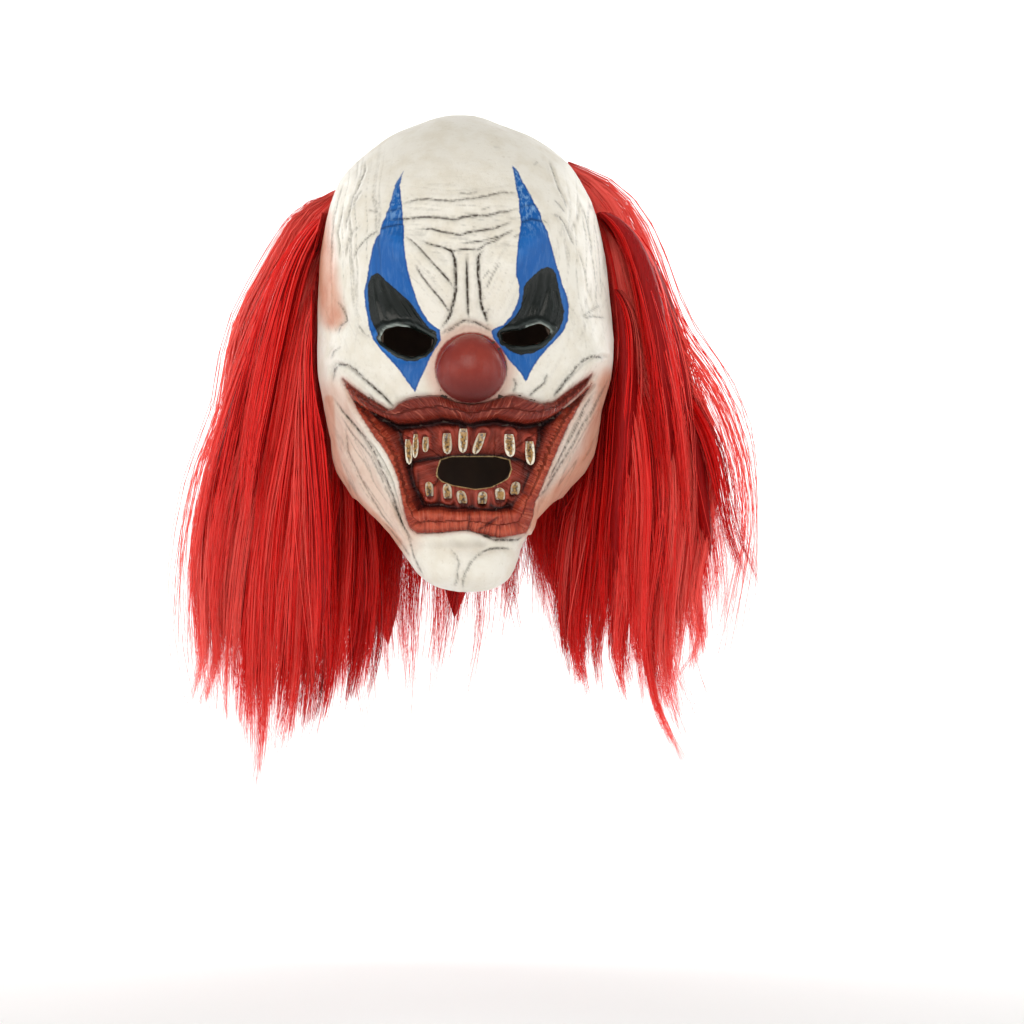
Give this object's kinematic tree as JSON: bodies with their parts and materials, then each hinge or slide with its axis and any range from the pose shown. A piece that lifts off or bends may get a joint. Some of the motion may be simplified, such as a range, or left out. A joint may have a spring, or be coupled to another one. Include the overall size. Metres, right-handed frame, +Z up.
{
  "type": "clown mask",
  "caption": "Hollow latex horror clown mask for the whole head, with ball nose, peg teeth, open eyes and mouth, and long red side hair.",
  "frame": {"origin": "inside of the crown, where the top of the wearer's head carries the mask", "axes": "+Z up, -Y out of the face, +X to the right as a viewer in front sees it"},
  "size_m": [0.3347, 0.2703, 0.3979],
  "materials": {
    "latex": "ivory latex with airbrushed blue, red and black paint, satin",
    "hair": "long red synthetic hair, soft sheen"
  },
  "bodies": {
    "root": {"mask_shell": "latex", "hair_left": "hair", "hair_right": "hair"}
  },
  "joints": []
}
